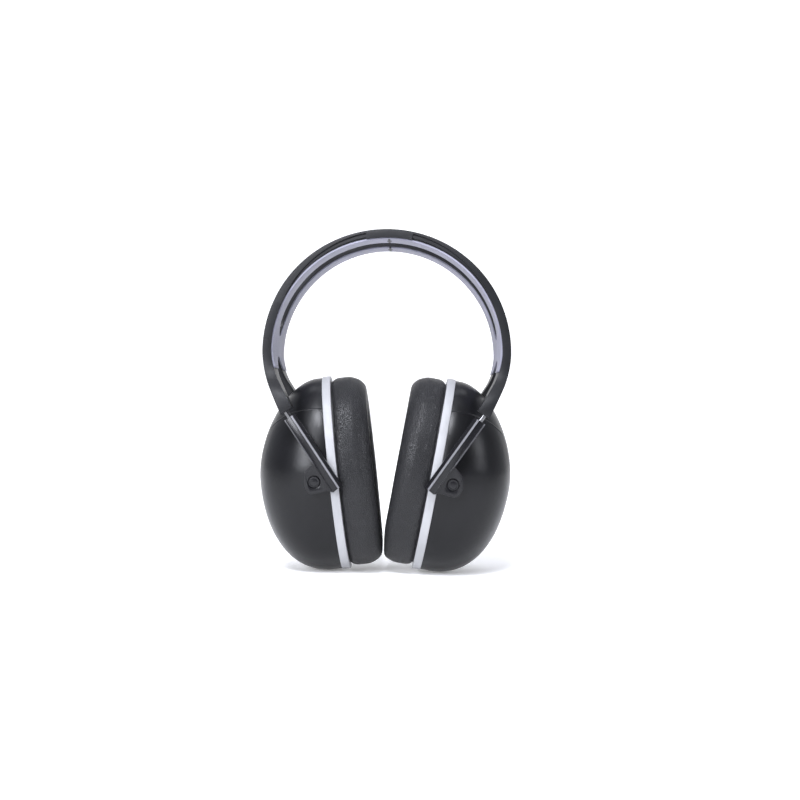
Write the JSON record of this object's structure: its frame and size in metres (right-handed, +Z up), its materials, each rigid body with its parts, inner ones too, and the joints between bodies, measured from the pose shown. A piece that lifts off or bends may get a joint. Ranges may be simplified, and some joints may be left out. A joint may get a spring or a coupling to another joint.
{
  "type": "hearing protection earmuffs",
  "caption": "Passive over-ear hearing protector with a twin-band sprung headband, sliding forked arms, tilting oval cups and soft sealing cushions.",
  "frame": {"origin": "middle of the footprint, on the level of the lowest point of the two cups", "axes": "X across the two cups, +Y towards the rear band (both bands are alike), +Z up to the crown"},
  "size_m": [0.1397, 0.0812, 0.1873],
  "materials": {
    "band_plastic": "satin",
    "liner_soft": "satin",
    "shell_plastic": "satin",
    "arm_plastic": "semi-gloss",
    "ring_plastic": "matt",
    "steel": "bright",
    "cushion_skin": "grained PVC",
    "cushion_core": "open-cell foam",
    "absorber": "open-cell foam"
  },
  "bodies": {
    "headband": {"headband_crown": "band_plastic", "crown_liner": "liner_soft", "front_spring_strip": "steel", "rear_spring_strip": "steel"},
    "left_side": {"left_headband_side": "band_plastic", "left_side_liner": "liner_soft", "left_front_slide_rod": "steel", "left_rear_slide_rod": "steel", "left_front_rod_stop": "arm_plastic", "left_rear_rod_stop": "arm_plastic"},
    "right_side": {"right_headband_side": "band_plastic", "right_side_liner": "liner_soft", "right_front_slide_rod": "steel", "right_rear_slide_rod": "steel", "right_front_rod_stop": "arm_plastic", "right_rear_rod_stop": "arm_plastic"},
    "left_arms": {"left_front_yoke": "arm_plastic", "left_rear_yoke": "arm_plastic", "left_front_pivot_pin": "arm_plastic", "left_rear_pivot_pin": "arm_plastic"},
    "right_arms": {"right_front_yoke": "arm_plastic", "right_rear_yoke": "arm_plastic", "right_front_pivot_pin": "arm_plastic", "right_rear_pivot_pin": "arm_plastic"},
    "left_cup": {"left_cup_shell": "shell_plastic", "left_spacer_ring": "ring_plastic", "left_cushion_plate": "shell_plastic", "left_cushion_foam": "cushion_core", "left_cushion_cover": "cushion_skin", "left_absorber_foam": "absorber", "left_absorber_scrim": "absorber"},
    "right_cup": {"right_cup_shell": "shell_plastic", "right_spacer_ring": "ring_plastic", "right_cushion_plate": "shell_plastic", "right_cushion_foam": "cushion_core", "right_cushion_cover": "cushion_skin", "right_absorber_foam": "absorber", "right_absorber_scrim": "absorber"}
  },
  "joints": [
    {"name": "left_flex", "type": "hinge", "parent": "headband", "child": "left_side", "pos_m": [-0.02709, 0, 0.1788], "axis": [0, 1, 0], "range_deg": [0, 26], "stiffness_Nm_per_rad": 3.5, "deforming": ["headband_crown", "crown_liner", "front_spring_strip", "rear_spring_strip"]},
    {"name": "right_flex", "type": "hinge", "parent": "headband", "child": "right_side", "pos_m": [0.02709, 0, 0.1788], "axis": [0, -1, 0], "range_deg": [0, 26], "stiffness_Nm_per_rad": 3.5, "deforming": ["headband_crown", "crown_liner", "front_spring_strip", "rear_spring_strip"]},
    {"name": "left_slide", "type": "slide", "parent": "left_side", "child": "left_arms", "axis": [0.5664, 0, -0.8241], "range_m": [0, 0.02], "deforming": ["left_cushion_cover", "left_cushion_foam"]},
    {"name": "right_slide", "type": "slide", "parent": "right_side", "child": "right_arms", "axis": [-0.5664, 0, -0.8241], "range_m": [0, 0.02], "deforming": ["right_cushion_cover", "right_cushion_foam"]},
    {"name": "left_tilt", "type": "hinge", "parent": "left_arms", "child": "left_cup", "pos_m": [-0.03664, 0, 0.0513], "axis": [0, 1, 0], "range_deg": [-10, 14], "deforming": ["left_cushion_cover", "left_cushion_foam"]},
    {"name": "right_tilt", "type": "hinge", "parent": "right_arms", "child": "right_cup", "pos_m": [0.03664, 0, 0.0513], "axis": [0, -1, 0], "range_deg": [-10, 14], "deforming": ["right_cushion_cover", "right_cushion_foam"]}
  ]
}
